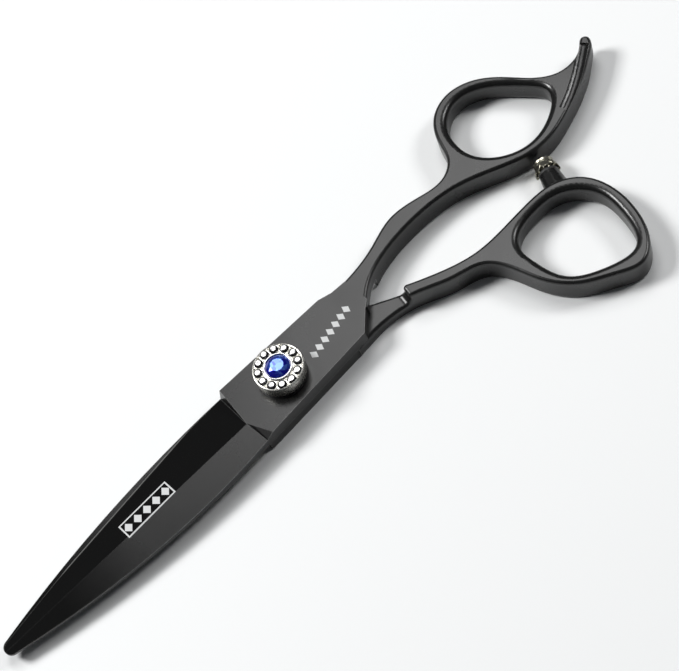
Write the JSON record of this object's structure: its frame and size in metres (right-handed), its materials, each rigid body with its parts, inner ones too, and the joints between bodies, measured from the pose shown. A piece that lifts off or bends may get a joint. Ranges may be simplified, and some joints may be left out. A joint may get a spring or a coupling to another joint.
{
  "type": "hair cutting shears",
  "caption": "Straight-bladed salon hair shears with half-lapped blades, a jewelled tension dial, finger rings, a finger tang and a bumper between the rings.",
  "frame": {"origin": "on the pivot axis, at the flat underside that the shears lie on", "axes": "-X to the blade tips and +X to the rings, +Y to the finger ring, +Z to the tension dial"},
  "size_m": [0.1665, 0.0579, 0.0097],
  "materials": {
    "black_coated_steel": "satin black titanium coating over stainless steel",
    "plate_black": "black oxide",
    "stud_steel": "turned steel",
    "spring_steel": "blued spring steel",
    "bush_bronze": "turned bronze",
    "washer_polymer": "low friction polymer sheet",
    "dial_silver": "bright plated, slightly warm",
    "collet_silver": "bright plated",
    "crown_silver": "bright plated, slightly warm",
    "gem_blue": "faceted blue glass with a foiled back",
    "crystal_clear": "faceted clear glass with a foiled back",
    "pad_rubber": "soft black rubber"
  },
  "bodies": {
    "finger_half": {"finger_blade": "black_coated_steel", "pivot_bush": "bush_bronze", "ride_washer": "washer_polymer", "click_plate": "plate_black", "click_pin": "stud_steel"},
    "thumb_half": {"thumb_blade": "black_coated_steel", "pivot_stud": "stud_steel"},
    "tension_dial": {"dial_body": "dial_silver", "spring_washer": "spring_steel", "gem_collet": "collet_silver", "centre_gem": "gem_blue", "rim_crystal_01": "crystal_clear", "rim_crystal_02": "crystal_clear", "rim_crystal_03": "crystal_clear", "rim_crystal_04": "crystal_clear", "rim_crystal_05": "crystal_clear", "rim_crystal_06": "crystal_clear", "rim_crystal_07": "crystal_clear", "rim_crystal_08": "crystal_clear", "rim_crystal_09": "crystal_clear", "rim_crystal_10": "crystal_clear", "rim_crystal_11": "crystal_clear", "rim_crystal_12": "crystal_clear"},
    "bumper": {"stop_stud": "stud_steel", "stop_pad": "pad_rubber", "stop_crown": "crown_silver", "stop_crystal": "crystal_clear"}
  },
  "joints": [
    {"name": "blade_pivot", "type": "hinge", "parent": "finger_half", "child": "thumb_half", "pos_m": [0, 0, 0.0028], "axis": [0, 0, -1], "range_deg": [0, 90]},
    {"name": "dial_turn", "type": "hinge", "parent": "finger_half", "child": "tension_dial", "pos_m": [0, 0, 0.0075], "axis": [0, 0, 1], "range_deg": [-180, 180]},
    {"name": "bumper_turn", "type": "hinge", "parent": "thumb_half", "child": "bumper", "pos_m": [0.06554, -0.00767, 0.0028], "axis": [0.3665, 0.9304, 0], "range_deg": [-180, 180]}
  ]
}
